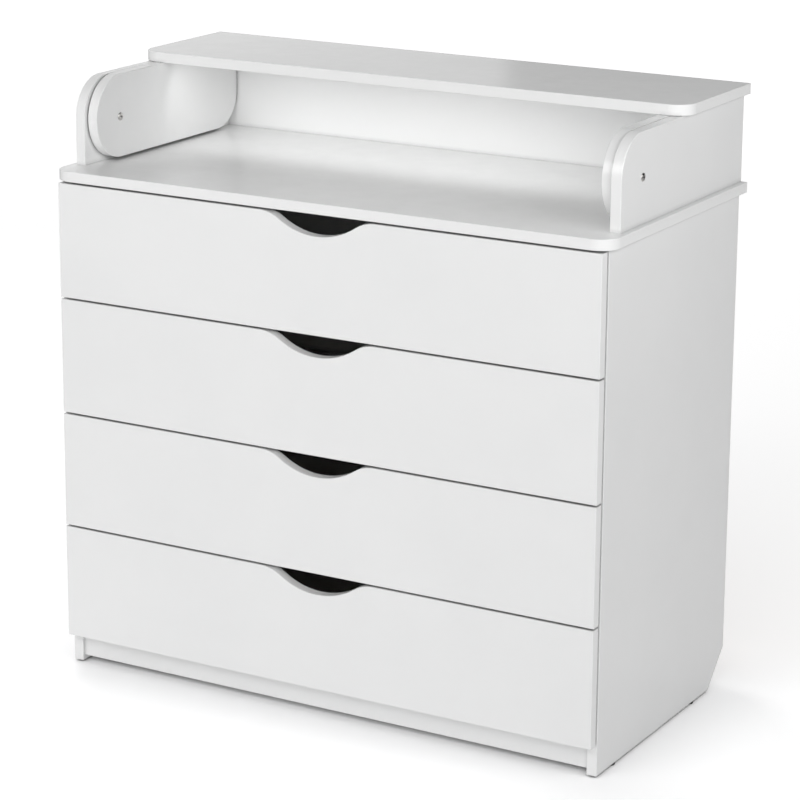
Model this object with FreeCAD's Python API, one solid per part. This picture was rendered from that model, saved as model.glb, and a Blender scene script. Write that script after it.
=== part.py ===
"""Changing dresser: a white four-drawer dresser whose top carries a low box with a fold-forward flap.

The carcass is 16 mm laminated chipboard on four nail-on glides. Four drawers with a finger cut in
the top edge of each front run on roller runners. On the worktop stand two upper sides and a back
wall. A flap, which is a shelf board on two arms, lies over the back half of that box and turns
forward by half a turn about two pivot bolts, until it lies level with the worktop in front of it.

Frame: millimetres, +Z up, +X to the right as seen from the front, the front faces -Y. The origin is
on the floor, under the middle of the whole dresser.
"""
import FreeCAD
import Part
import math
import os

Vector = FreeCAD.Vector

# ---------------------------------------------------------------- driving dimensions (mm)

# boards
board = 16.0                 # thickness of every chipboard panel
edge_break = 0.6             # bevel on the outline edges that show
body_width = 900.0           # over the two side panels

# drawer fronts, which set the height of the side panels
drawer_count = 4
front_height = 176.0         # every front but the top one
top_front_height = 174.0
front_gap = 3.0              # between fronts, and under the worktop
front_side_reveal = 2.0      # each end of a front short of the side panel's outer face
front_stand_off = 2.0        # between the fronts and the side panels' front edges
lowest_front_z = 46.0        # lower edge of the lowest front above the feet of the side panels
finger_cut_depth = 29.0
finger_cut_radius = 114.0    # bottom of the wave
finger_cut_blend = 55.0      # radius that turns the wave out into the straight edge

# runners, which set the depth of the side panels
runner_length = 400.0        # tracks, rails and drawer boxes
runner_hold = 100.0          # length of the rail that stays in the track when a drawer is out
track_setback = 2.0          # track behind the side panel's front edge
room_behind_tracks = 33.0    # from the tracks to the side panel's back edge
runner_space = 12.5          # between the drawer box and the side panel, on each side
runner_sheet = 1.2           # steel thickness
flange_gap = 1.1             # from the edge of each flange to the sheet that it faces
rail_foot = 15.0             # the rail's flange under the drawer bottom
wheel_diameter = 17.0
wheel_width = 6.0
wheel_inset = 12.0           # wheel centres from the front end of the track and the back end of the rail
wheel_gap = 0.1              # running clearance between a wheel and what it rolls on
wheel_side_gap = 1.3         # between a wheel and the sheet that carries its axle
wheel_top_room = 0.5         # between the rail's wheel and the track's upper flange
lip_room = 0.6               # between the track's upper flange and the rail's lip
axle_diameter = 4.0
axle_clearance = 0.06        # radial
axle_head_diameter = 7.0
axle_head_height = 0.8
stop_gap = 0.3               # from the rail's wheel to each stop at the ends of its travel
stop_drop = 5.6              # how far the front stop hangs into the track

# drawer boxes
box_side_height = 110.0
box_base_z = 31.0            # underside of the drawer bottom above the lower edge of its front
drawer_bottom_thickness = 3.0
drawer_floor_room = 5.8      # between the lowest drawer's rails and the bottom panel

# rest of the carcass
skirting_cut = 52.0          # corner cut off at the back foot of each side panel, for a skirting board
side_lap = 10.0              # worktop and flap beyond each side panel
back_lap = 1.8               # worktop beyond the back panel
worktop_corner = 30.0        # radius of the worktop's front corners
plinth_floor_gap = 8.0       # below the plinths, above the feet of the side panels
plinth_recess = 5.0          # front plinth behind the side panels' front edges
back_plinth_room = 10.0      # from the back plinth to the skirting cut
back_panel_thickness = 3.2   # hardboard
back_panel_margin = 2.0      # hardboard short of the carcass outline all round

# glides
glide_diameter = 17.0
glide_height = 3.0
glide_chamfer = 1.0
glide_nail_diameter = 2.6
glide_nail_length = 14.0
glide_inset = 57.0           # from the side panel's front edge, and from its skirting cut

# box on the worktop
upper_height = 130.0
upper_corner = 60.0          # radius of the upper sides' top front corners
upper_side_lead = 7.0        # upper sides' front edges ahead of the arms

# flap
flap_seat_gap = 0.3          # flap above the upper sides
flap_open_step = 1.0         # flap above the worktop when it is folded forward
flap_stop_gap = 0.5          # between the flap's edge and the worktop's edge when folded forward
flap_corner = 30.0           # radius of its front corners
pivot_setback = 117.5        # pivot bolts behind the worktop's front edge
arm_end_lag = 2.65           # centre of an arm's round end behind the pivot bolts
arm_side_gap = 1.5           # between an arm and its upper side
arm_floor_gap = 4.0          # below the arms, above the worktop
arm_back_gap = 2.0           # between the arms and the back wall
arm_back_corner = 55.0       # radius of the lower back corner of an arm

# pivot bolts: a sleeve nut through both boards, closed by a screw from inside
sleeve_diameter = 8.0
sleeve_clearance = 0.05      # radial, in the arm
pivot_head_diameter = 12.0
pivot_head_height = 1.8
pivot_head_bevel = 0.9
pivot_head_gap = 0.15        # between the screw's head and the arm
pivot_screw_diameter = 6.0
pivot_screw_length = 20.0
pivot_washer_diameter = 20.0
pivot_washer_gap = 0.1       # on each face of the washer
cross_length = 6.0           # cross recess in the heads
cross_width = 1.1
cross_depth = 1.0

# cam fittings: a lock in one board's face and a bolt that it holds, screwed into the other board
fastener_clearance = 0.1     # round a fastener in its hole, and past its end
lock_diameter = 15.0
lock_depth = 12.5
lock_setback = 34.0          # lock's centre from the joint
lock_bolt_diameter = 6.0
lock_bolt_anchor = 11.0      # depth of the bolt in the mating board
dowel_diameter = 8.0
dowel_in_face = 11.0
dowel_in_edge = 19.0

# one-piece screws that hold a drawer's back
box_screw_diameter = 7.0
box_screw_length = 50.0

# places of the fasteners
side_lock_inset = 70.0       # under the worktop, from the side panel's front and back edges
side_dowel_inset = 113.0
bottom_lock_inset = 50.0     # at the ends of the bottom panel, from each plinth
bottom_dowel_inset = 95.0
upper_lock_front_inset = 180.0   # under the upper sides, from their front edges
upper_lock_back_inset = 49.0     # and from their back edges
upper_dowel_back_inset = 147.0
wall_lock_inset = 130.0      # under the back wall, from its ends
wall_dowel_rise = 45.0       # at the ends of the back wall, above the worktop
wall_dowel_drop = 33.0       # and below its top edge
flap_lock_inset = 41.0       # over an arm, from the flap's front edge and from the arm's back edge
drawer_dowel_rise = 33.0     # behind a drawer front, above the lower edges of the box sides
drawer_lock_drop = 35.0      # and below their upper edges
box_screw_inset = 25.0       # from the upper and lower edges of the drawer's back

# ---------------------------------------------------------------- planes worked out from them

front_pitch = front_height + front_gap
side_height = lowest_front_z + (drawer_count - 1) * front_pitch + top_front_height + front_gap
side_depth = track_setback + runner_length + room_behind_tracks
overall_depth = board + front_stand_off + side_depth + back_panel_thickness + back_lap

half_width = body_width / 2
inner_half = half_width - board                   # inner faces of the side panels
lap_half = half_width + side_lap                  # ends of the worktop and the flap
front_y = -overall_depth / 2                      # faces of the drawer fronts, edge of the worktop
back_y = overall_depth / 2
side_front_y = front_y + board + front_stand_off
side_back_y = side_front_y + side_depth
foot_z = glide_height                             # feet of the side panels
side_top_z = foot_z + side_height                 # underside of the worktop
worktop_z = side_top_z + board                    # top face of the worktop
bottom_top_z = foot_z + lowest_front_z + box_base_z - runner_sheet - drawer_floor_room
bottom_z = bottom_top_z - board                   # underside of the bottom panel
plinth_z = foot_z + plinth_floor_gap              # underside of the plinths
plinth_y = side_front_y + plinth_recess           # front face of the front plinth
back_plinth_y = side_back_y - skirting_cut - back_plinth_room - board

upper_top_z = worktop_z + upper_height
flap_z = upper_top_z + flap_seat_gap              # underside of the flap
pivot_y = front_y + pivot_setback
pivot_z = (worktop_z + flap_open_step + flap_z) / 2
flap_front_y = 2 * pivot_y - front_y + flap_stop_gap
arm_bottom_z = worktop_z + arm_floor_gap
arm_end_radius = (flap_z - arm_bottom_z) / 2
arm_front_y = pivot_y + arm_end_lag - arm_end_radius
arm_outer_x = inner_half - arm_side_gap
arm_inner_x = arm_outer_x - board
upper_front_y = arm_front_y - upper_side_lead
back_wall_y = back_y - board                      # front face of the back wall
arm_back_y = back_wall_y - arm_back_gap

box_half = inner_half - runner_space              # outer faces of a drawer box
box_inner = box_half - board
box_front_y = front_y + board
box_back_y = box_front_y + runner_length

wheel_radius = wheel_diameter / 2
track_y = side_front_y + track_setback
track_wheel_y = track_y + wheel_inset
rail_wheel_y = box_back_y - wheel_inset
drawer_travel = runner_length - runner_hold

mid_board = board / 2
loose = 2 * fastener_clearance                    # what a hole's diameter adds to its fastener's
over_cut = 1.0                                    # how far a cutting tool starts outside the board
same_place = 1e-6

nodes = {}       # node name: finished shape
fixings = {}     # node name: list of separate solids
cuts = {}        # board name: list of solids to take out of it


# ---------------------------------------------------------------- basic shapes

def block(x_range, y_range, z_range):
    low = Vector(x_range[0], y_range[0], z_range[0])
    return Part.makeBox(x_range[1] - x_range[0], y_range[1] - y_range[0], z_range[1] - z_range[0], low)


def rod(diameter, start, end):
    along = end - start
    return Part.makeCylinder(diameter / 2, along.Length, start, along)


def mirrored(shape):
    return shape.mirror(Vector(0, 0, 0), Vector(1, 0, 0))


def rounded_outline(corners, place):
    """Closed wire through (u, v, radius) corners; place turns (u, v) into a point in space."""
    turns = []
    count = len(corners)
    for i, (u, v, radius) in enumerate(corners):
        here = Vector(u, v, 0)
        if radius == 0:
            turns.append((here, None, here))
            continue
        before = Vector(corners[i - 1][0], corners[i - 1][1], 0) - here
        after = Vector(corners[(i + 1) % count][0], corners[(i + 1) % count][1], 0) - here
        before.normalize()
        after.normalize()
        half_angle = before.getAngle(after) / 2
        reach = radius / math.tan(half_angle)
        inward = before + after
        inward.normalize()
        middle = here + inward * (radius / math.sin(half_angle) - radius)
        turns.append((here + before * reach, middle, here + after * reach))
    edges = []
    for i, (start, middle, end) in enumerate(turns):
        following = turns[(i + 1) % count][0]
        if middle is not None:
            edges.append(Part.Arc(place(start), place(middle), place(end)).toShape())
        if (following - end).Length > same_place:
            edges.append(Part.LineSegment(place(end), place(following)).toShape())
    return Part.Wire(edges)


def plan_board(corners, z):
    """Board lying flat, from its (x, y, radius) corners, softened all round but at the back."""
    wire = rounded_outline(corners, lambda p: Vector(p.x, p.y, z))
    shape = Part.Face(wire).extrude(Vector(0, 0, board))
    back = max(corner[1] for corner in corners)
    soft = [edge for edge in shape.Edges
            if edge.BoundBox.ZLength < same_place and edge.BoundBox.YMin < back - same_place]
    return shape.makeChamfer(edge_break, soft)


def side_board(corners, x, square_z, back):
    """Board standing along the depth, from its (y, z, radius) corners; x is its left face. Its
    outline edges are softened, apart from those that lie at square_z or at the back."""
    wire = rounded_outline(corners, lambda p: Vector(x, p.x, p.y))
    shape = Part.Face(wire).extrude(Vector(board, 0, 0))
    soft = []
    for edge in shape.Edges:
        bounds = edge.BoundBox
        at_seat = bounds.ZLength < same_place and abs(bounds.ZMin - square_z) < same_place
        if bounds.XLength < same_place and not at_seat and bounds.YMin < back - same_place:
            soft.append(edge)
    return shape.makeChamfer(edge_break, soft)


def slot(centre, outward, along, length, width, depth):
    """Straight slot that goes into a fastener's face at centre; along is its long way."""
    across = outward.cross(along)
    corner = centre - along * (length / 2) - across * (width / 2) - outward * depth
    outline = Part.makePolygon([
        corner,
        corner + along * length,
        corner + along * length + across * width,
        corner + across * width,
        corner,
    ])
    return Part.Face(outline).extrude(outward * (depth + over_cut))


def take_out(name, *shapes):
    cuts.setdefault(name, []).extend(shapes)


def add_fixing(node, *shapes):
    fixings.setdefault(node, []).extend(shapes)


# ---------------------------------------------------------------- fasteners

def cam_fitting(node, seam, into_edge, face, lock_board, bolt_board):
    """Cam lock and bolt. seam is where the bolt crosses the joint, in the middle of lock_board's
    edge; into_edge points from there into lock_board; face is the side its lock opens on."""
    centre = seam + into_edge * lock_setback
    mouth = centre + face * mid_board
    floor = mouth - face * lock_depth
    anchor = seam - into_edge * lock_bolt_anchor
    hole = lock_bolt_diameter + loose
    rim = centre - into_edge * (lock_diameter / 2 + fastener_clearance)
    add_fixing(node, rod(lock_bolt_diameter, anchor, rim), rod(lock_diameter, floor, mouth))
    lock_hole = lock_diameter + loose
    take_out(lock_board, rod(lock_hole, floor - face * fastener_clearance, mouth + face * over_cut))
    take_out(lock_board, rod(hole, seam - into_edge * over_cut, centre))
    take_out(bolt_board, rod(hole, anchor - into_edge * fastener_clearance, seam + into_edge * over_cut))


def dowel(node, seam, into_edge, edge_board, face_board):
    """Beech dowel across a joint, deeper in the board whose edge meets it."""
    near = seam - into_edge * dowel_in_face
    far = seam + into_edge * dowel_in_edge
    hole = dowel_diameter + loose
    add_fixing(node, rod(dowel_diameter, near, far))
    take_out(edge_board, rod(hole, seam - into_edge * over_cut, far + into_edge * fastener_clearance))
    take_out(face_board, rod(hole, near - into_edge * fastener_clearance, seam + into_edge * over_cut))


def box_screw(node, head_point, inward, side, back):
    """One-piece screw, flush with a box side, into the edge of the box back."""
    tip = head_point + inward * box_screw_length
    seam = head_point + inward * board
    hole = box_screw_diameter + loose
    add_fixing(node, rod(box_screw_diameter, head_point, tip))
    take_out(side, rod(hole, head_point - inward * over_cut, seam + inward * over_cut))
    take_out(back, rod(hole, seam - inward * over_cut, tip + inward * fastener_clearance))


# ---------------------------------------------------------------- carcass

def make_side_panels():
    corners = [
        (side_front_y, foot_z, 0),
        (side_back_y - skirting_cut, foot_z, 0),
        (side_back_y, foot_z + skirting_cut, 0),
        (side_back_y, side_top_z, 0),
        (side_front_y, side_top_z, 0),
    ]
    for name, x in (("side_panel_left", -half_width), ("side_panel_right", inner_half)):
        nodes[name] = side_board(corners, x, side_top_z, side_back_y)


def make_worktop():
    nodes["worktop"] = plan_board([
        (-lap_half, front_y, worktop_corner),
        (lap_half, front_y, worktop_corner),
        (lap_half, back_y, 0),
        (-lap_half, back_y, 0),
    ], side_top_z)


def make_bottom_and_plinths():
    across = (-inner_half, inner_half)
    under = (plinth_z, bottom_z)
    nodes["bottom_panel"] = block(across, (side_front_y, side_back_y), (bottom_z, bottom_top_z))
    nodes["plinth_front"] = block(across, (plinth_y, plinth_y + board), under)
    nodes["plinth_back"] = block(across, (back_plinth_y, back_plinth_y + board), under)


def make_back_panel():
    """Hardboard on the back edges of the side panels and the bottom panel."""
    edge_x = half_width - back_panel_margin
    height = (bottom_z + back_panel_margin, side_top_z - back_panel_margin)
    nodes["back_panel"] = block((-edge_x, edge_x), (side_back_y, side_back_y + back_panel_thickness), height)


def make_glides():
    for side, holder in ((-1, "side_panel_left"), (1, "side_panel_right")):
        for y in (side_front_y + glide_inset, side_back_y - skirting_cut - glide_inset):
            middle = Vector(side * (half_width - mid_board), y, foot_z)
            floor = middle - Vector(0, 0, glide_height)
            tip = middle + Vector(0, 0, glide_nail_length)
            pad = rod(glide_diameter, floor, middle)
            rim = [edge for edge in pad.Edges if edge.BoundBox.ZMax < floor.z + same_place]
            pad = pad.makeChamfer(glide_chamfer, rim)
            add_fixing("foot_glides", pad.fuse(rod(glide_nail_diameter, middle, tip)))
            take_out(holder, rod(glide_nail_diameter + loose, middle, tip + Vector(0, 0, fastener_clearance)))


def join_carcass():
    """Cam fittings and dowels of the carcass, the same on both sides."""
    panel_mid_z = bottom_z + mid_board
    plinth_mid_z = (plinth_z + bottom_z) / 2
    bottom_front = plinth_y + board               # back face of the front plinth
    down = Vector(0, 0, -1)
    rearward = Vector(0, 1, 0)
    for side, panel in ((-1, "side_panel_left"), (1, "side_panel_right")):
        inward = Vector(-side, 0, 0)
        mid_x = side * (half_width - mid_board)
        face_x = side * inner_half
        for y in (side_front_y + side_lock_inset, side_back_y - side_lock_inset):
            cam_fitting("cam_fittings", Vector(mid_x, y, side_top_z), down, inward, panel, "worktop")
        for y in (side_front_y + side_dowel_inset, side_back_y - side_dowel_inset):
            dowel("dowels", Vector(mid_x, y, side_top_z), down, panel, "worktop")
        for y in (bottom_front + bottom_lock_inset, back_plinth_y - bottom_lock_inset):
            cam_fitting("cam_fittings", Vector(face_x, y, panel_mid_z), inward, down, "bottom_panel", panel)
        for y in (bottom_front + bottom_dowel_inset, back_plinth_y - bottom_dowel_inset):
            dowel("dowels", Vector(face_x, y, panel_mid_z), inward, "bottom_panel", panel)
        plinths = ((plinth_y, "plinth_front", rearward), (back_plinth_y, "plinth_back", -rearward))
        for y, plinth, face in plinths:
            seam = Vector(face_x, y + mid_board, plinth_mid_z)
            cam_fitting("cam_fittings", seam, inward, face, plinth, panel)


# ---------------------------------------------------------------- box on the worktop

def make_upper_box():
    corners = [
        (upper_front_y, worktop_z, 0),
        (back_y, worktop_z, 0),
        (back_y, upper_top_z, 0),
        (upper_front_y, upper_top_z, upper_corner),
    ]
    for name, x in (("upper_side_left", -half_width), ("upper_side_right", inner_half)):
        nodes[name] = side_board(corners, x, worktop_z, back_y)
    across = (-inner_half, inner_half)
    nodes["upper_back_wall"] = block(across, (back_wall_y, back_y), (worktop_z, upper_top_z))


def join_upper_box():
    up = Vector(0, 0, 1)
    wall_mid_y = back_wall_y + mid_board
    for side, panel in ((-1, "upper_side_left"), (1, "upper_side_right")):
        inward = Vector(-side, 0, 0)
        mid_x = side * (half_width - mid_board)
        for y in (upper_front_y + upper_lock_front_inset, back_y - upper_lock_back_inset):
            cam_fitting("cam_fittings", Vector(mid_x, y, worktop_z), up, inward, panel, "worktop")
        dowel("dowels", Vector(mid_x, back_y - upper_dowel_back_inset, worktop_z), up, panel, "worktop")
        seam = Vector(side * (inner_half - wall_lock_inset), wall_mid_y, worktop_z)
        cam_fitting("cam_fittings", seam, up, Vector(0, 1, 0), "upper_back_wall", "worktop")
        for z in (worktop_z + wall_dowel_rise, upper_top_z - wall_dowel_drop):
            dowel("dowels", Vector(side * inner_half, wall_mid_y, z), inward, "upper_back_wall", panel)


# ---------------------------------------------------------------- flap

def make_flap():
    nodes["flap_top"] = plan_board([
        (-lap_half, flap_front_y, flap_corner),
        (lap_half, flap_front_y, flap_corner),
        (lap_half, back_y, 0),
        (-lap_half, back_y, 0),
    ], flap_z)
    corners = [
        (arm_front_y, arm_bottom_z, arm_end_radius),
        (arm_back_y, arm_bottom_z, arm_back_corner),
        (arm_back_y, flap_z, 0),
        (arm_front_y, flap_z, arm_end_radius),
    ]
    bore = rod(sleeve_diameter + 2 * sleeve_clearance,
               Vector(arm_inner_x - over_cut, pivot_y, pivot_z),
               Vector(arm_outer_x + over_cut, pivot_y, pivot_z))
    arm = side_board(corners, arm_inner_x, worktop_z, back_y).cut(bore)
    nodes["flap_arm_right"] = arm
    nodes["flap_arm_left"] = mirrored(arm)
    down = Vector(0, 0, -1)
    for side, name in ((-1, "flap_arm_left"), (1, "flap_arm_right")):
        outward = Vector(side, 0, 0)
        mid_x = side * (arm_inner_x + mid_board)
        for y in (flap_front_y + flap_lock_inset, arm_back_y - flap_lock_inset):
            cam_fitting("flap_fittings", Vector(mid_x, y, flap_z), down, outward, name, "flap_top")
        middle = (flap_front_y + arm_back_y) / 2
        dowel("flap_fittings", Vector(mid_x, middle, flap_z), down, name, "flap_top")


def pivot_head(seat, outward):
    """Low bevelled screw head with a cross recess, standing on seat."""
    top = seat + outward * pivot_head_height
    head = rod(pivot_head_diameter, seat, top)
    rim = [edge for edge in head.Edges
           if edge.BoundBox.XLength < same_place and abs(edge.BoundBox.XMin - top.x) < same_place]
    head = head.makeChamfer(pivot_head_bevel, rim)
    upright = Vector(0, 0, 1)
    for along in (upright, outward.cross(upright)):
        head = head.cut(slot(top, outward, along, cross_length, cross_width, cross_depth))
    return head


def make_pivots():
    """Sleeve nut, screw and washer of each pivot; the sleeve turns in the arm's bore."""
    def at(x):
        return Vector(x, pivot_y, pivot_z)

    outward = Vector(1, 0, 0)
    screw_seat = at(arm_inner_x - pivot_head_gap)
    screw_tip = screw_seat + outward * pivot_screw_length
    sleeve_end = at(arm_inner_x + pivot_head_gap)
    sleeve = rod(sleeve_diameter, sleeve_end, at(half_width)).fuse(pivot_head(at(half_width), outward))
    sleeve = sleeve.cut(rod(pivot_screw_diameter + loose, sleeve_end - outward * over_cut,
                            screw_tip + outward * over_cut))
    screw = rod(pivot_screw_diameter, screw_seat, screw_tip).fuse(pivot_head(screw_seat, -outward))
    washer = rod(pivot_washer_diameter, at(arm_outer_x + pivot_washer_gap), at(inner_half - pivot_washer_gap))
    washer = washer.cut(rod(sleeve_diameter + loose, at(arm_outer_x), at(inner_half)))
    for node, solid in (("pivot_sleeves", sleeve), ("pivot_screws", screw), ("pivot_washers", washer)):
        add_fixing(node, solid, mirrored(solid))
    hole = rod(sleeve_diameter + loose, at(inner_half - over_cut), at(half_width + over_cut))
    take_out("upper_side_right", hole)
    take_out("upper_side_left", mirrored(hole))


# ---------------------------------------------------------------- drawers

def front_span(number):
    """Lower and upper edge of a drawer front; number 1 is the top drawer."""
    low = foot_z + lowest_front_z + (drawer_count - number) * front_pitch
    return low, low + (top_front_height if number == 1 else front_height)


def drawer_front(number):
    """Front board whose top edge dips in a wave as wide as a hand."""
    low, high = front_span(number)
    half = half_width - front_side_reveal
    total = finger_cut_radius + finger_cut_blend
    reach = math.sqrt(2 * finger_cut_depth * total - finger_cut_depth ** 2)
    meet_x = reach * finger_cut_radius / total
    meet_z = high - finger_cut_depth + finger_cut_radius - math.sqrt(finger_cut_radius ** 2 - meet_x ** 2)
    turn = math.asin((reach - meet_x) / finger_cut_blend) / 2
    mid_x = reach - finger_cut_blend * math.sin(turn)
    mid_z = high - finger_cut_blend + finger_cut_blend * math.cos(turn)

    def at(x, z):
        return Vector(x, front_y, z)

    edges = [
        Part.LineSegment(at(-half, high), at(-half, low)),
        Part.LineSegment(at(-half, low), at(half, low)),
        Part.LineSegment(at(half, low), at(half, high)),
        Part.LineSegment(at(half, high), at(reach, high)),
        Part.Arc(at(reach, high), at(mid_x, mid_z), at(meet_x, meet_z)),
        Part.Arc(at(meet_x, meet_z), at(0, high - finger_cut_depth), at(-meet_x, meet_z)),
        Part.Arc(at(-meet_x, meet_z), at(-mid_x, mid_z), at(-reach, high)),
        Part.LineSegment(at(-reach, high), at(-half, high)),
    ]
    wire = Part.Wire([edge.toShape() for edge in edges])
    front = Part.Face(wire).extrude(Vector(0, board, 0))
    soft = [edge for edge in front.Edges if edge.BoundBox.YMax < front_y + same_place]
    return front.makeChamfer(edge_break, soft)


def make_drawer(number):
    name = f"drawer_{number}"
    base_z = front_span(number)[0] + box_base_z
    low = base_z + drawer_bottom_thickness        # lower edges of the box sides
    high = low + box_side_height
    along = (box_front_y, box_back_y)
    nodes[name + "_front"] = drawer_front(number)
    nodes[name + "_side_right"] = block((box_inner, box_half), along, (low, high))
    nodes[name + "_side_left"] = block((-box_half, -box_inner), along, (low, high))
    nodes[name + "_back"] = block((-box_inner, box_inner), (box_back_y - board, box_back_y), (low, high))
    nodes[name + "_bottom"] = block((-box_half, box_half), along, (base_z, low))
    fasteners = name + "_fasteners"
    rearward = Vector(0, 1, 0)
    for side, panel in ((-1, name + "_side_left"), (1, name + "_side_right")):
        inward = Vector(-side, 0, 0)
        mid_x = side * (box_half - mid_board)
        lock_seam = Vector(mid_x, box_front_y, high - drawer_lock_drop)
        cam_fitting(fasteners, lock_seam, rearward, inward, panel, name + "_front")
        dowel_seam = Vector(mid_x, box_front_y, low + drawer_dowel_rise)
        dowel(fasteners, dowel_seam, rearward, panel, name + "_front")
        for z in (low + box_screw_inset, high - box_screw_inset):
            head_point = Vector(side * box_half, box_back_y - mid_board, z)
            box_screw(fasteners, head_point, inward, panel, name + "_back")
    make_runner(number, base_z)


# ---------------------------------------------------------------- roller runners

def make_wheel(x_inner, y, z):
    """Nylon runner wheel; x_inner is its face nearer the dresser's middle."""
    start = Vector(x_inner, y, z)
    end = Vector(x_inner + wheel_width, y, z)
    past = Vector(over_cut, 0, 0)
    bore = rod(axle_diameter + 2 * axle_clearance, start - past, end + past)
    return rod(wheel_diameter, start, end).cut(bore)


def axle(sheet_face, outward, y, z):
    """Riveted stud that carries a wheel; its head keeps the wheel on."""
    start = Vector(sheet_face, y, z)
    neck = start + outward * (wheel_side_gap + wheel_width + wheel_gap)
    head = rod(axle_head_diameter, neck, neck + outward * axle_head_height)
    return rod(axle_diameter, start, neck).fuse(head)


def make_runner(number, base_z):
    """Track on the side panel, rail on the drawer, and the two wheels between them, on both sides.

    The rail's wheel rolls inside the track; the rail's lip rolls over the track's own wheel."""
    floor_z = base_z + runner_sheet                         # what the rail's wheel rolls on
    rail_wheel_z = floor_z + wheel_gap + wheel_radius
    roof_z = rail_wheel_z + wheel_radius + wheel_top_room   # under the track's upper flange
    lip_z = roof_z + runner_sheet + lip_room                # under the rail's lip
    track_wheel_z = lip_z - wheel_gap - wheel_radius
    outward = Vector(1, 0, 0)

    web = inner_half - runner_sheet                         # the track's sheet on the side panel
    rail_web = box_half + runner_sheet                      # the rail's sheet on the drawer
    flange = (rail_web + flange_gap, web)
    track_back = track_y + runner_length
    roof_start = track_wheel_y + wheel_radius + 2 * runner_sheet
    stop_reach = math.sqrt(wheel_radius ** 2 - (roof_z - stop_drop - rail_wheel_z) ** 2)
    stop_y = rail_wheel_y - drawer_travel - stop_reach - stop_gap
    end_y = rail_wheel_y + wheel_radius + stop_gap
    track = block((web, inner_half), (track_y, track_back), (base_z, roof_z + runner_sheet))
    track = track.fuse([
        block(flange, (track_y, track_back), (base_z, floor_z)),
        block(flange, (roof_start, track_back), (roof_z, roof_z + runner_sheet)),
        block(flange, (stop_y - runner_sheet, stop_y), (roof_z - stop_drop, roof_z)),
        block(flange, (end_y, end_y + runner_sheet), (floor_z, roof_z)),
        axle(web, -outward, track_wheel_y, track_wheel_z),
    ])

    along = (box_front_y, box_back_y)
    foot = (base_z - runner_sheet, base_z)
    lip = (lip_z, lip_z + runner_sheet)
    rail = block((box_half, rail_web), along, (foot[0], lip[1]))
    rail = rail.fuse([
        block((box_half - rail_foot, box_half), along, foot),
        block((rail_web, web - flange_gap), along, lip),
        axle(rail_web, outward, rail_wheel_y, rail_wheel_z),
    ])

    track_wheel = make_wheel(web - wheel_side_gap - wheel_width, track_wheel_y, track_wheel_z)
    rail_wheel = make_wheel(rail_web + wheel_side_gap, rail_wheel_y, rail_wheel_z)
    for node, solid in (
        (f"runner_tracks_{number}", track),
        (f"drawer_{number}_rails", rail),
        (f"track_wheels_{number}", track_wheel),
        (f"rail_wheels_{number}", rail_wheel),
    ):
        add_fixing(node, solid, mirrored(solid))


# ---------------------------------------------------------------- the whole dresser

def build():
    make_side_panels()
    make_worktop()
    make_bottom_and_plinths()
    make_back_panel()
    make_glides()
    join_carcass()
    make_upper_box()
    join_upper_box()
    make_flap()
    make_pivots()
    for number in range(1, drawer_count + 1):
        make_drawer(number)
    for name, tools in cuts.items():
        nodes[name] = nodes[name].cut(tools)
    for name, solids in fixings.items():
        nodes[name] = Part.makeCompound(solids)
    os.makedirs("parts", exist_ok=True)
    for name, shape in nodes.items():
        shape.exportStep(f"parts/{name}.step")
    print(len(nodes), "nodes,", sum(len(shape.Solids) for shape in nodes.values()), "solids")


build()
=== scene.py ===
import bmesh
import bpy
from math import radians
from mathutils import Matrix, Vector


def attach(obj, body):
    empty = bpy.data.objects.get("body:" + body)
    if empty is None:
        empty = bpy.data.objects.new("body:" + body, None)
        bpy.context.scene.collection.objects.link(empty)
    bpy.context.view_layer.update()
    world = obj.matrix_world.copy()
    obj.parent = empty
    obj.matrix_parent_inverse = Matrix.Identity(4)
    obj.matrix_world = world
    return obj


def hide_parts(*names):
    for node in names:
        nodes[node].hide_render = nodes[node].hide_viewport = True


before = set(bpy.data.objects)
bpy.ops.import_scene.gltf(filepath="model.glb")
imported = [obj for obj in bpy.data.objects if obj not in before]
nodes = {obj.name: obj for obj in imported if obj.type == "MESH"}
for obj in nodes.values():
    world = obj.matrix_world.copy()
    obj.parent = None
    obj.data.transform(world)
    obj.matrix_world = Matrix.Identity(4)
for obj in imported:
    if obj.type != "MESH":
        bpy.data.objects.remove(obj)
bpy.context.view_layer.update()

print("frame loaded,", len(nodes), "nodes")


# helpers for node trees

def newMaterial(name):
    mat = bpy.data.materials.new(name)
    mat.use_nodes = True
    tree = mat.node_tree
    return mat, tree, tree.nodes["Principled BSDF"]


def addNode(tree, kind, inputs=None, **settings):
    node = tree.nodes.new(kind)
    for key, value in settings.items():
        setattr(node, key, value)
    for key, value in (inputs or {}).items():
        if isinstance(value, bpy.types.NodeSocket):
            tree.links.new(value, node.inputs[key])
        else:
            node.inputs[key].default_value = value
    return node


def noise(tree, coords, scale, detail, roughness=0.5):
    inputs = {"Vector": coords, "Scale": scale, "Detail": detail, "Roughness": roughness}
    return addNode(tree, "ShaderNodeTexNoise", inputs).outputs["Fac"]


def remap(tree, value, source, target=(0.0, 1.0)):
    # the source range is stretched onto the target range, and held at its ends
    inputs = {"Value": value, "From Min": source[0], "From Max": source[1],
              "To Min": target[0], "To Max": target[1]}
    return addNode(tree, "ShaderNodeMapRange", inputs).outputs["Result"]


def maths(tree, operation, a, b=0.0):
    # b is left out for an absolute value
    return addNode(tree, "ShaderNodeMath", {0: a, 1: b}, operation=operation).outputs[0]


def dot(tree, a, b):
    return addNode(tree, "ShaderNodeVectorMath", {0: a, 1: b}, operation="DOT_PRODUCT").outputs["Value"]


def mixColour(tree, factor, a, b):
    # a colour mix has its colours in sockets 6 and 7, and its result in 2
    return addNode(tree, "ShaderNodeMix", {0: factor, 6: a, 7: b}, data_type="RGBA").outputs[2]


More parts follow.
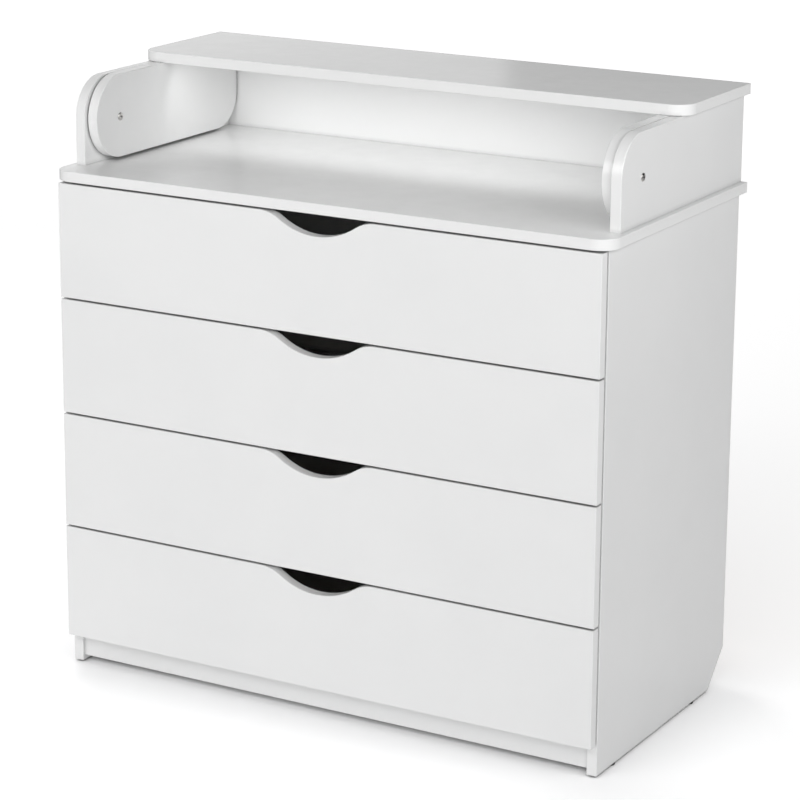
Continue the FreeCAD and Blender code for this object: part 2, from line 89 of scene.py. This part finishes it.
def openness(tree, reach):
    # 1 in the open, and less where something stands within reach
    return addNode(tree, "ShaderNodeAmbientOcclusion", {"Distance": reach}, samples=2).outputs["AO"]


def isCameraRay(tree):
    return addNode(tree, "ShaderNodeLightPath").outputs["Is Camera Ray"]


def objectCoords(tree):
    return addNode(tree, "ShaderNodeTexCoord").outputs["Object"]


def bump(tree, shader, height, strength, distance):
    node = addNode(tree, "ShaderNodeBump", {"Height": height, "Strength": strength, "Distance": distance})
    tree.links.new(node.outputs["Normal"], shader.inputs["Normal"])


noiseRange = (0.3, 0.7)      # where most of a noise lies
black = (0, 0, 0, 1)
white = (1, 1, 1, 1)


# white laminate on chipboard, with an edge band on the narrow faces

laminate = {
    "face": (0.868, 0.87, 0.868, 1),
    "faceSoiled": (0.85, 0.853, 0.852, 1),
    "band": (0.875, 0.877, 0.875, 1),
    "bandNormal": (0.75, 0.65),    # how far a face leans before it counts as an edge
    "ior": 1.5,
    "roughness": 0.235,
    "roughnessSpread": 0.03,
    "smearScale": 21.0,
    "pearlScale": 1400.0,          # fine press texture
    "pearlDepth": 0.00002,
    "waveScale": 5.0,              # slow unevenness of the pressed sheet
    "waveShare": 1.2,
    "cloudScale": 7.0,             # faint patches of the soiled colour
    "cloudRange": (0.35, 0.7),
    "gapReach": 0.007,             # painted shade darkens a gap narrower than this
    "gapOpen": 0.7,                # openness at which the painted shade begins
    "gapDusk": 0.42,               # share of the colour that the painted shade leaves in a closed gap
}


def makeLaminate(name, across):
    # across is the axis that the board is thin along
    mat, tree, shader = newMaterial(name)
    coords = objectCoords(tree)
    cloud = noise(tree, coords, laminate["cloudScale"], 4.0)
    soiled = remap(tree, cloud, laminate["cloudRange"])
    face = mixColour(tree, soiled, laminate["face"], laminate["faceSoiled"])
    normal = addNode(tree, "ShaderNodeNewGeometry").outputs["True Normal"]
    lean = addNode(tree, "ShaderNodeSeparateXYZ", {0: normal}).outputs[across]
    narrow = remap(tree, maths(tree, "ABSOLUTE", lean), laminate["bandNormal"])
    colour = mixColour(tree, narrow, face, laminate["band"])
    # painted shade: the colour is darkened towards black in gaps and corners where another part stands close
    gap = openness(tree, laminate["gapReach"])
    paintedGapShade = remap(tree, gap, (0.0, laminate["gapOpen"]), (laminate["gapDusk"], 1.0))
    tree.links.new(mixColour(tree, paintedGapShade, black, colour), shader.inputs["Base Color"])
    smear = noise(tree, coords, laminate["smearScale"], 5.0, 0.6)
    low = laminate["roughness"] - laminate["roughnessSpread"]
    high = laminate["roughness"] + laminate["roughnessSpread"]
    tree.links.new(remap(tree, smear, noiseRange, (low, high)), shader.inputs["Roughness"])
    pearl = noise(tree, coords, laminate["pearlScale"], 2.0)
    slow = noise(tree, coords, laminate["waveScale"], 1.0)
    height = maths(tree, "ADD", pearl, maths(tree, "MULTIPLY", slow, laminate["waveShare"]))
    bump(tree, shader, height, 1.0, laminate["pearlDepth"])
    shader.inputs["IOR"].default_value = laminate["ior"]
    return mat


laminateLying = makeLaminate("whiteLaminateLying", "Z")
laminateFront = makeLaminate("whiteLaminateFront", "Y")
laminateSide = makeLaminate("whiteLaminateSide", "X")


# thin fibreboard: lacquered white on its good face, brown on the other

fibreboard = {
    "lacquer": (0.78, 0.785, 0.78, 1),
    "fibre": (0.36, 0.22, 0.12, 1),
    "fibreDark": (0.24, 0.14, 0.075, 1),
    "fibreScale": 260.0,
    "fibreDepth": 0.0002,
    "goodFacing": (0.4, 0.6),      # how squarely a face looks the good way to be lacquered
    "fibreRoughness": 0.8,
    "lacquerRoughness": 0.42,
}


def makeFibreboard(name, goodFace):
    # goodFace is the way that the white face looks
    mat, tree, shader = newMaterial(name)
    coords = objectCoords(tree)
    strands = noise(tree, coords, fibreboard["fibreScale"], 6.0, 0.7)
    brown = mixColour(tree, remap(tree, strands, noiseRange), fibreboard["fibre"], fibreboard["fibreDark"])
    normal = addNode(tree, "ShaderNodeNewGeometry").outputs["True Normal"]
    good = remap(tree, dot(tree, normal, goodFace), fibreboard["goodFacing"])
    tree.links.new(mixColour(tree, good, brown, fibreboard["lacquer"]), shader.inputs["Base Color"])
    gloss = (fibreboard["fibreRoughness"], fibreboard["lacquerRoughness"])
    tree.links.new(remap(tree, good, (0.0, 1.0), gloss), shader.inputs["Roughness"])
    bump(tree, shader, strands, 0.5, fibreboard["fibreDepth"])
    return mat


backFibreboard = makeFibreboard("backFibreboard", (0, -1, 0))
drawerFibreboard = makeFibreboard("drawerFibreboard", (0, 0, 1))


# runners, wheels, fittings and feet: two shades, roughness, scale and depth of the grain, and how metallic

grainy = {
    "powderCoat": [(0.80, 0.80, 0.79, 1), (0.76, 0.76, 0.75, 1), 0.4, 900.0, 0.00004, 0.0],
    "nylon": [(0.72, 0.72, 0.68, 1), (0.66, 0.66, 0.61, 1), 0.45, 400.0, 0.00003, 0.0],
    "zincAlloy": [(0.56, 0.57, 0.59, 1), (0.44, 0.45, 0.47, 1), 0.42, 350.0, 0.00004, 1.0],
    "nickelPlate": [(0.66, 0.65, 0.63, 1), (0.56, 0.55, 0.53, 1), 0.24, 700.0, 0.00001, 1.0],
    "blackPlastic": [(0.006, 0.006, 0.006, 1), (0.014, 0.014, 0.014, 1), 0.6, 500.0, 0.0001, 0.0],
    "beech": [(0.55, 0.38, 0.23, 1), (0.44, 0.29, 0.17, 1), 0.7, 300.0, 0.0001, 0.0],
    # recessShade is painted shade: a near-black material for the faces of cut recesses
    "recessShade": [(0.035, 0.034, 0.033, 1), (0.02, 0.02, 0.02, 1), 0.5, 700.0, 0.00001, 0.6],
}
roughnessSpread = 0.06
patchScale = 0.1             # times the grain's scale, for patches of more and less gloss
blackPlasticGloss = 0.2


def makeGrainy(name):
    light, dark, roughness, scale, depth, metallic = grainy[name]
    mat, tree, shader = newMaterial(name)
    coords = objectCoords(tree)
    grain = noise(tree, coords, scale, 4.0, 0.6)
    tree.links.new(mixColour(tree, remap(tree, grain, noiseRange), light, dark), shader.inputs["Base Color"])
    patch = noise(tree, coords, scale * patchScale, 3.0)
    spread = (roughness - roughnessSpread, roughness + roughnessSpread)
    tree.links.new(remap(tree, patch, noiseRange, spread), shader.inputs["Roughness"])
    shader.inputs["Metallic"].default_value = metallic
    bump(tree, shader, grain, 1.0, depth)
    return mat


powderCoat = makeGrainy("powderCoat")
nylon = makeGrainy("nylon")
zincAlloy = makeGrainy("zincAlloy")
nickelPlate = makeGrainy("nickelPlate")
blackPlastic = makeGrainy("blackPlastic")
blackPlastic.node_tree.nodes["Principled BSDF"].inputs["Specular IOR Level"].default_value = blackPlasticGloss
beech = makeGrainy("beech")
recessShade = makeGrainy("recessShade")


# which finish each node of the frame has

finishes = {
    "worktop": laminateLying, "flap_top": laminateLying, "bottom_panel": laminateLying,
    "side_panel_left": laminateSide, "side_panel_right": laminateSide,
    "upper_side_left": laminateSide, "upper_side_right": laminateSide,
    "flap_arm_left": laminateSide, "flap_arm_right": laminateSide,
    "upper_back_wall": laminateFront, "plinth_front": laminateFront, "plinth_back": laminateFront,
    "back_panel": backFibreboard, "foot_glides": blackPlastic, "cam_fittings": zincAlloy,
    "flap_fittings": zincAlloy, "dowels": beech, "pivot_sleeves": nickelPlate, "pivot_screws": nickelPlate,
    "pivot_washers": nylon,
}
for number in range(1, 5):
    drawer = f"drawer_{number}"
    finishes[drawer + "_front"] = laminateFront
    finishes[drawer + "_back"] = laminateFront
    finishes[drawer + "_side_left"] = laminateSide
    finishes[drawer + "_side_right"] = laminateSide
    finishes[drawer + "_bottom"] = drawerFibreboard
    finishes[drawer + "_rails"] = powderCoat
    finishes[drawer + "_fasteners"] = zincAlloy
    finishes[f"runner_tracks_{number}"] = powderCoat
    finishes[f"track_wheels_{number}"] = nylon
    finishes[f"rail_wheels_{number}"] = nylon
for name, obj in nodes.items():
    obj.data.materials.clear()
    obj.data.materials.append(finishes[name])
print("finishes given")


# helpers for small turned pieces, whose sizes and places are in millimetres

perMetre = 1000
smoothBelow = radians(32)
crossTaper = 0.6             # how much narrower a cross recess is at its bottom


def begin(name, adder, **settings):
    bpy.ops.object.select_all(action="DESELECT")
    adder(**settings)
    piece = bpy.context.object
    piece.name = name
    bpy.ops.object.transform_apply(location=True, rotation=True, scale=True)
    return piece


def turnPiece(name, profile, sides, finish):
    # profile runs from one end to the other, as (radius, height)
    radius, height = profile[0]
    piece = begin(name, bpy.ops.mesh.primitive_circle_add, vertices=sides, radius=radius / perMetre,
                  fill_type="NGON", location=(0, 0, height / perMetre))
    bpy.ops.object.mode_set(mode="EDIT")
    bpy.ops.mesh.select_all(action="SELECT")
    for nextRadius, nextHeight in profile[1:]:
        rise = (nextHeight - height) / perMetre
        bpy.ops.mesh.extrude_region_move(TRANSFORM_OT_translate={"value": (0, 0, rise)})
        grow = nextRadius / radius
        bpy.ops.transform.resize(value=(grow, grow, 1), center_override=(0, 0, 0))
        radius, height = nextRadius, nextHeight
    bpy.ops.mesh.select_all(action="SELECT")
    bpy.ops.mesh.normals_make_consistent(inside=False)
    bpy.ops.object.mode_set(mode="OBJECT")
    piece.data.materials.append(finish)
    return piece


def sinkRecess(piece, cutter, finish):
    # the recess faces take a near-black material, which paints shade into the hollow
    cutter.data.materials.append(finish)
    piece.data.materials.append(finish)
    cut = piece.modifiers.new("recess", "BOOLEAN")
    cut.object = cutter
    cut.material_mode = "TRANSFER"
    bpy.ops.object.select_all(action="DESELECT")
    piece.select_set(True)
    bpy.context.view_layer.objects.active = piece
    bpy.ops.object.modifier_apply(modifier="recess")
    bpy.data.objects.remove(cutter)


def selectUnderside(piece):
    bpy.ops.mesh.select_all(action="DESELECT")
    mesh = bmesh.from_edit_mesh(piece.data)
    for face in mesh.faces:
        face.select_set(face.normal.z < -0.9)
    mesh.select_flush(True)
    bmesh.update_edit_mesh(piece.data)


def sinkCross(piece, cross, finish):
    # two crossed wedges, narrower at the bottom, sunk from the height called top
    for long, wide in ((cross["length"], cross["width"]), (cross["width"], cross["length"])):
        size = (long / perMetre, wide / perMetre, 2 * cross["depth"] / perMetre)
        cutter = begin("crossCutter", bpy.ops.mesh.primitive_cube_add, size=1, scale=size,
                       location=(0, 0, cross["top"] / perMetre))
        bpy.ops.object.mode_set(mode="EDIT")
        selectUnderside(cutter)
        bpy.ops.transform.resize(value=(crossTaper, crossTaper, 1), center_override=(0, 0, 0))
        bpy.ops.object.mode_set(mode="OBJECT")
        sinkRecess(piece, cutter, finish)


def placeCopy(model, point, way):
    # way is where the model's upward axis goes
    copy = model.copy()
    copy.data = model.data.copy()
    bpy.context.collection.objects.link(copy)
    turn = Vector(way).to_track_quat("Z", "Y").to_matrix().to_4x4()
    copy.data.transform(Matrix.Translation(Vector(point) / perMetre) @ turn)
    return copy


def gather(name, copies, body, replaced=None):
    bpy.ops.object.select_all(action="DESELECT")
    for copy in copies:
        copy.select_set(True)
    bpy.context.view_layer.objects.active = copies[0]
    bpy.ops.object.join()
    piece = bpy.context.object
    piece.name = name
    piece.data.name = name
    bpy.ops.object.shade_smooth_by_angle(angle=smoothBelow)
    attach(piece, body)
    if replaced:
        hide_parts(replaced)


# pivot bolts: sleeve nuts outside and screws inside, with a cross recess in a low domed head

pivotBolt = {
    "sleeve": [(3.9, -33.3), (4.0, -33.2), (4.0, 0)],
    "screw": [(2.5, -20), (3.0, -19.3), (3.0, 0)],
    "head": [(6.0, 0.02), (6.0, 0.5), (5.9, 0.75), (5.6, 1.05), (5.0, 1.35), (4.1, 1.6), (3.0, 1.75),
             (1.6, 1.8)],
    "cross": {"length": 6.4, "width": 1.5, "depth": 1.2, "top": 1.8},
    "place": (-111.5, 844.65),                       # y and z of the pivot
    "seats": {"sleeve": 450.0, "screw": 416.35},     # x of the face under each head
    "sides": 48,
}


def makePivotBolts():
    for kind, outward in (("sleeve", 1), ("screw", -1)):
        model = turnPiece("pivotModel", pivotBolt[kind] + pivotBolt["head"], pivotBolt["sides"], nickelPlate)
        sinkCross(model, pivotBolt["cross"], recessShade)
        y, z = pivotBolt["place"]
        seat = pivotBolt["seats"][kind]
        copies = [placeCopy(model, (side * seat, y, z), (side * outward, 0, 0)) for side in (-1, 1)]
        name = "pivotSleeveNuts" if kind == "sleeve" else "pivotBoltScrews"
        gather(name, copies, "carcass", f"pivot_{kind}s")
        bpy.data.objects.remove(model)


makePivotBolts()
print("pivot bolts made")


# screws of the runners

runnerScrew = {
    "profile": [(0.4, -11), (1.7, -8.5), (1.7, 0), (3.2, 0.02), (3.15, 0.3), (2.8, 0.6), (2.1, 0.8),
                (1.2, 0.88)],
    "cross": {"length": 3.4, "width": 0.8, "depth": 0.6, "top": 0.88},
    "sides": 20,
    "trackFace": 432.8,            # x of the face that the heads stand on
    "trackSpots": (-145, 39),      # y of each screw
    "trackRise": 9.8,              # above the drawer's underside
    "railFace": 422.7,
    "railSpots": (-133, 107),
    "railRise": 14.0,
}
lowestBase = 80                    # underside of the lowest drawer
drawerPitch = 179
drawerBases = {number: lowestBase + (4 - number) * drawerPitch for number in range(1, 5)}


def makeRunnerScrews():
    model = turnPiece("runnerScrewModel", runnerScrew["profile"], runnerScrew["sides"], zincAlloy)
    sinkCross(model, runnerScrew["cross"], recessShade)
    onTracks = []
    for number, base in drawerBases.items():
        onRails = []
        for side in (-1, 1):
            for y in runnerScrew["trackSpots"]:
                spot = (side * runnerScrew["trackFace"], y, base + runnerScrew["trackRise"])
                onTracks.append(placeCopy(model, spot, (-side, 0, 0)))
            for y in runnerScrew["railSpots"]:
                spot = (side * runnerScrew["railFace"], y, base + runnerScrew["railRise"])
                onRails.append(placeCopy(model, spot, (side, 0, 0)))
        gather(f"railScrews_{number}", onRails, f"drawer_{number}")
    gather("trackScrews", onTracks, "carcass")
    bpy.data.objects.remove(model)


makeRunnerScrews()
print("runner screws made")


# pins of the back panel

backPin = {
    "profile": [(0.3, -15), (0.9, -13.5), (0.9, 0), (2.0, 0.02), (1.9, 0.35), (1.4, 0.6), (0.7, 0.72)],
    "sides": 14,
    "face": 227.2,                 # y of the back panel's outer face
    "sideX": 442,                  # down both sides, and along the bottom
    "sideHeights": [75 + 111 * step for step in range(7)],
    "bottomZ": 65,
    "bottomPlaces": [-345 + 115 * step for step in range(7)],
}


def makeBackPins():
    model = turnPiece("backPinModel", backPin["profile"], backPin["sides"], zincAlloy)
    spots = [(side * backPin["sideX"], z) for side in (-1, 1) for z in backPin["sideHeights"]]
    spots += [(x, backPin["bottomZ"]) for x in backPin["bottomPlaces"]]
    copies = [placeCopy(model, (x, backPin["face"], z), (0, 1, 0)) for x, z in spots]
    gather("backPins", copies, "carcass")
    bpy.data.objects.remove(model)


makeBackPins()
print("back pins made")


# cam locks and bolts, dowels of the flap and the drawers, and the drawers' one-piece screws

fitting = {
    "lock": [(7.2, -12.5), (7.5, -12.2), (7.5, -0.3), (7.25, 0), (6.4, 0), (6.15, -0.4), (2.0, -0.4)],
    "lockSides": 40,
    "lockCross": {"length": 9.0, "width": 1.9, "depth": 2.4, "top": -0.4},
    "lockSetback": 34.0,           # from the joint to the lock's centre
    "halfBoard": 8.0,
    "boltTip": [(1.5, -11)],
    "boltThread": {"start": -10.5, "end": 0, "core": 2.2, "crest": 3.0, "pitch": 1.5},
    "boltEnd": [(3.0, 0), (3.0, 1.0), (2.0, 1.4), (2.5, 1.8), (2.5, 25.4), (2.1, 26.4)],
    "boltSides": 20,
    "dowel": [(3.3, -11), (4.0, -10), (4.0, 18), (3.3, 19)],
    "dowelSides": 24,
    "screwTip": [(0.8, -50)],
    "screwThread": {"start": -48, "end": -17, "core": 2.2, "crest": 3.2, "pitch": 2.4},
    "screwHead": [(2.4, -16.5), (3.5, -15.5), (3.5, 0)],
    "screwSides": 24,
    "socketSides": 6,
    "socketRadius": 2.3,
    "socketDepth": 3.0,
}

# where they stand on the right-hand side, which the left mirrors
fittingPlaces = {
    "sideTop": {"x": 442, "y": (-141, 154), "z": 763},
    "bottomPanel": {"x": 434, "y": (-140, 96), "z": 65},
    "plinths": {"x": 434, "y": (-198, 154), "z": 34},
    "upperSide": {"x": 442, "y": (1, 180), "z": 779},
    "backWall": {"x": 304, "y": 221, "z": 779},
    "flap": {"x": 424.5, "y": (47.5, 170), "dowelY": 108.75, "z": 909.3},
    "drawerFront": {"x": 413.5, "y": -213, "camRise": 78, "dowelRise": 36},
    "drawerBack": {"x": 421.5, "y": 179, "rises": (28, 88)},
}


def threadSteps(start, end, core, crest, pitch):
    steps = []
    height = start
    while height + pitch < end:
        steps += [(core, height), (crest, height + pitch / 2)]
        height += pitch
    return steps


def makeFittings():
    lock = turnPiece("lockModel", fitting["lock"], fitting["lockSides"], zincAlloy)
    sinkCross(lock, fitting["lockCross"], recessShade)
    boltSteps = fitting["boltTip"] + threadSteps(**fitting["boltThread"]) + fitting["boltEnd"]
    bolt = turnPiece("boltModel", boltSteps, fitting["boltSides"], zincAlloy)
    peg = turnPiece("dowelModel", fitting["dowel"], fitting["dowelSides"], beech)
    screwSteps = fitting["screwTip"] + threadSteps(**fitting["screwThread"]) + fitting["screwHead"]
    screw = turnPiece("boxScrewModel", screwSteps, fitting["screwSides"], zincAlloy)
    socket = begin("socketCutter", bpy.ops.mesh.primitive_cylinder_add, vertices=fitting["socketSides"],
                   radius=fitting["socketRadius"] / perMetre, depth=2 * fitting["socketDepth"] / perMetre)
    sinkRecess(screw, socket, recessShade)

    def cam(seam, into, face):
        # lock and bolt of one joint, as seen from the seam
        centre = Vector(seam) + Vector(into) * fitting["lockSetback"]
        lockMouth = centre + Vector(face) * fitting["halfBoard"]
        return [placeCopy(lock, lockMouth, face), placeCopy(bolt, seam, into)]

    up, down, rear, front = (0, 0, 1), (0, 0, -1), (0, 1, 0), (0, -1, 0)
    carcass = []
    flap = []
    drawers = {number: [] for number in drawerBases}
    for side in (-1, 1):
        inward, outward = (-side, 0, 0), (side, 0, 0)
        ways = {"sideTop": (down, inward, inward), "bottomPanel": (inward, down, down),
                "plinths": (inward, rear, front), "upperSide": (up, inward, inward)}
        for name, (into, *faces) in ways.items():
            place = fittingPlaces[name]
            for y, face in zip(place["y"], faces):
                carcass += cam((side * place["x"], y, place["z"]), into, face)
        place = fittingPlaces["backWall"]
        carcass += cam((side * place["x"], place["y"], place["z"]), up, rear)
        place = fittingPlaces["flap"]
        for y in place["y"]:
            flap += cam((side * place["x"], y, place["z"]), down, outward)
        flap.append(placeCopy(peg, (side * place["x"], place["dowelY"], place["z"]), down))
        for number, base in drawerBases.items():
            place = fittingPlaces["drawerFront"]
            x, y = side * place["x"], place["y"]
            drawers[number] += cam((x, y, base + place["camRise"]), rear, inward)
            drawers[number].append(placeCopy(peg, (x, y, base + place["dowelRise"]), rear))
            place = fittingPlaces["drawerBack"]
            for rise in place["rises"]:
                spot = (side * place["x"], place["y"], base + rise)
                drawers[number].append(placeCopy(screw, spot, outward))
    gather("camFittings", carcass, "carcass", "cam_fittings")
    gather("flapFittings", flap, "flap", "flap_fittings")
    for number, copies in drawers.items():
        gather(f"drawerFittings_{number}", copies, f"drawer_{number}", f"drawer_{number}_fasteners")
    for model in (lock, bolt, peg, screw):
        bpy.data.objects.remove(model)


makeFittings()
print("fittings made")


# floor, world and lights

stageSet = {
    "floorSize": 30.0,
    "floorColour": (0.85, 0.85, 0.855, 1),
    "floorRoughness": 0.9,
    "floorGloss": 0.1,
    "floorGlow": 0.18,             # what the floor gives back to the dresser
    "shadowReach": 0.15,           # how far the dresser dims the floor round it
    "shadowEnd": 0.85,
    "contactReach": 0.012,         # painted contact shadow in the narrow gap under the boards
    "contactRange": (0.05, 0.5),
    "contactDusk": 0.1,
    # distance from the dresser, and how much whiter the floor looks from there
    "pale": [(0.6, 0.28), (1.6, 0.42), (4.5, 0.75)],
    "backdrop": 1.0,
    # light from round about: where it comes from, how gathered it is, and how strong
    "skyPatches": [
        ((-0.55, 0.8, 0.3), 6.0, 0.5),
        ((0.6, -1.0, 0.12), 24.0, 3.0),
        ((0.25, -1.0, 0.6), 8.0, 1.2),
    ],
}

floor = begin("studioFloor", bpy.ops.mesh.primitive_plane_add, size=stageSet["floorSize"])
floorMat, floorTree, floorShader = newMaterial("studioFloor")
floorShader.inputs["Roughness"].default_value = stageSet["floorRoughness"]
floorShader.inputs["Emission Color"].default_value = white
floorShader.inputs["Specular IOR Level"].default_value = stageSet["floorGloss"]
coords = objectCoords(floorTree)
away = addNode(floorTree, "ShaderNodeVectorMath", {0: coords}, operation="LENGTH").outputs["Value"]
(near, nearPale), (middle, middlePale), (far, farPale) = stageSet["pale"]
pale = remap(floorTree, away, (near, middle), (nearPale, middlePale))
farther = remap(floorTree, away, (middle, far), (0.0, farPale - middlePale))
pale = maths(floorTree, "ADD", pale, farther)
seenPale = maths(floorTree, "MULTIPLY", pale, isCameraRay(floorTree))
glow = maths(floorTree, "ADD", seenPale, stageSet["floorGlow"])
shadow = remap(floorTree, openness(floorTree, stageSet["shadowReach"]), (0.0, stageSet["shadowEnd"]))
glow = maths(floorTree, "MULTIPLY", glow, shadow)
# painted contact shadow: the floor's colour and glow are darkened towards black under and against the dresser
paintedContactShadow = openness(floorTree, stageSet["contactReach"])
paintedContactShadow = remap(floorTree, paintedContactShadow, stageSet["contactRange"], (stageSet["contactDusk"], 1.0))
glow = maths(floorTree, "MULTIPLY", glow, paintedContactShadow)
floorShade = mixColour(floorTree, paintedContactShadow, black, stageSet["floorColour"])
floorTree.links.new(floorShade, floorShader.inputs["Base Color"])
floorTree.links.new(glow, floorShader.inputs["Emission Strength"])
floor.data.materials.append(floorMat)

world = bpy.data.worlds.new("studio")
bpy.context.scene.world = world
world.use_nodes = True
sky = world.node_tree
background = sky.nodes["Background"]
direction = addNode(sky, "ShaderNodeTexCoord").outputs["Generated"]
skyLight = 0.0
for toward, gathered, strong in stageSet["skyPatches"]:
    facing = dot(sky, direction, Vector(toward).normalized())
    patch = maths(sky, "POWER", maths(sky, "MAXIMUM", facing, 0.0), gathered)
    skyLight = maths(sky, "ADD", maths(sky, "MULTIPLY", patch, strong), skyLight)
strength = addNode(sky, "ShaderNodeMix", {0: isCameraRay(sky), 2: skyLight, 3: stageSet["backdrop"]})
sky.links.new(strength.outputs[0], background.inputs["Strength"])
background.inputs["Color"].default_value = white

# place, aim, size and watts of each lamp, and whether the laminate's gloss shows it
lamps = {
    "frontLamp": [(-0.5, -1.9, 1.6), (0.0, 0.0, 0.85), (1.4, 0.8), 13.3, True],
    "rightLamp": [(1.7, -0.5, 1.45), (0.4, 0.0, 0.8), (1.4, 0.8), 13.3, True],
    "rearLamp": [(-1.7, 1.3, 2.1), (-0.3, 0.1, 0.9), (1.3, 0.9), 20.0, False],
    "leftLamp": [(-1.5, 0.2, 1.6), (-0.3, 0.1, 0.9), (1.8, 1.4), 4.5, False],
    "gleamLamp": [(-1.3, 1.3, 1.25), (-1.3, 0.0, 1.25), (1.6, 0.7), 1.4, True],
    "boxLamp": [(-0.02, 0.02, 0.893), (-0.02, 0.2, 0.8), (0.74, 0.05), 0.2, False],
}
for name, (at, aim, size, watts, glossy) in lamps.items():
    bpy.ops.object.light_add(type="AREA", location=at)
    light = bpy.context.object
    light.name = name
    light.data.shape = "RECTANGLE"
    light.data.size, light.data.size_y = size
    light.data.energy = watts
    light.rotation_euler = (Vector(aim) - Vector(at)).to_track_quat("-Z", "Y").to_euler()
    light.visible_camera = False
    light.visible_glossy = glossy
print("studio lit")


# camera

view = {
    "at": (2.0957, -3.6618, 1.6457),
    "lens": 131.36,
    "sensor": 36.0,
    "turn": 29.91,             # degrees to the left of straight ahead
    "dip": 14.49,
    "roll": 0.33,
    "shift": (0.0129, -0.0969),
}
turned = Matrix.Rotation(radians(view["turn"]), 3, "Z")
dipped = Matrix.Rotation(radians(90 - view["dip"]), 3, "X")
rolled = Matrix.Rotation(radians(view["roll"]), 3, "Z")
bpy.ops.object.camera_add(location=view["at"], rotation=(turned @ dipped @ rolled).to_euler())
camera = bpy.context.object
camera.data.lens = view["lens"]
camera.data.sensor_width = view["sensor"]
camera.data.shift_x, camera.data.shift_y = view["shift"]
bpy.context.scene.camera = camera
bpy.context.scene.view_settings.view_transform = "Standard"
print("camera set")
